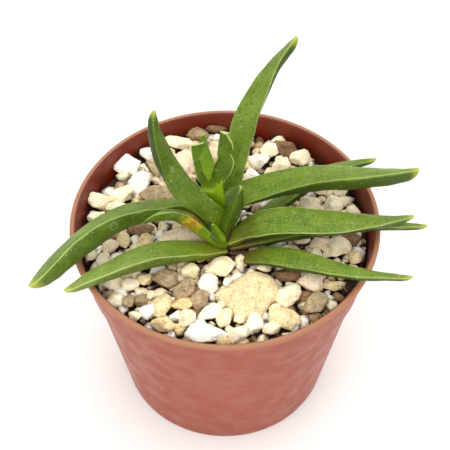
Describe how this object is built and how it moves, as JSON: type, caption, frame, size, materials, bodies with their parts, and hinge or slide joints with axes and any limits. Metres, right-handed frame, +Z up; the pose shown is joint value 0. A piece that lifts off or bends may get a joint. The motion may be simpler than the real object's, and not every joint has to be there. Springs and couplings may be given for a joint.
{
  "type": "potted succulent plant",
  "caption": "Low succulent with long, thick, keeled tongue-shaped leaves in a round plastic nursery pot topped with pale gravel.",
  "frame": {"origin": "centre of the pot's base, on the surface it stands on", "axes": "+Z up along the pot's axis; +X to the right and +Y away from the viewer as the plant is seen in the picture"},
  "size_m": [0.1051, 0.085, 0.1061],
  "materials": {
    "pot": "terracotta-coloured polypropylene, satin",
    "soil": "dark, damp potting mix",
    "gravel": "pale mixed limestone and pumice pebbles, matt",
    "large_stone": "cream limestone, matt",
    "stem": "brown, corky stem and root",
    "leaf": "succulent leaf skin, satin",
    "young_leaf": "young succulent leaf skin, satin"
  },
  "bodies": {
    "root": {"pot": "pot", "soil": "soil", "gravel": "gravel", "large_stone": "large_stone", "stem_and_root": "stem", "leaf_bud_front": "leaf", "leaf_middle_left": "leaf", "leaf_low_left": "leaf", "leaf_low_right": "leaf", "leaf_under_right": "leaf", "leaf_middle_right": "leaf", "leaf_short": "leaf", "leaf_upright_left": "leaf", "leaf_high_right": "leaf", "leaf_tall_upright": "leaf", "leaf_long_left": "leaf", "leaf_back_right": "leaf", "young_pair": "young_leaf", "young_bud": "young_leaf"}
  },
  "joints": []
}
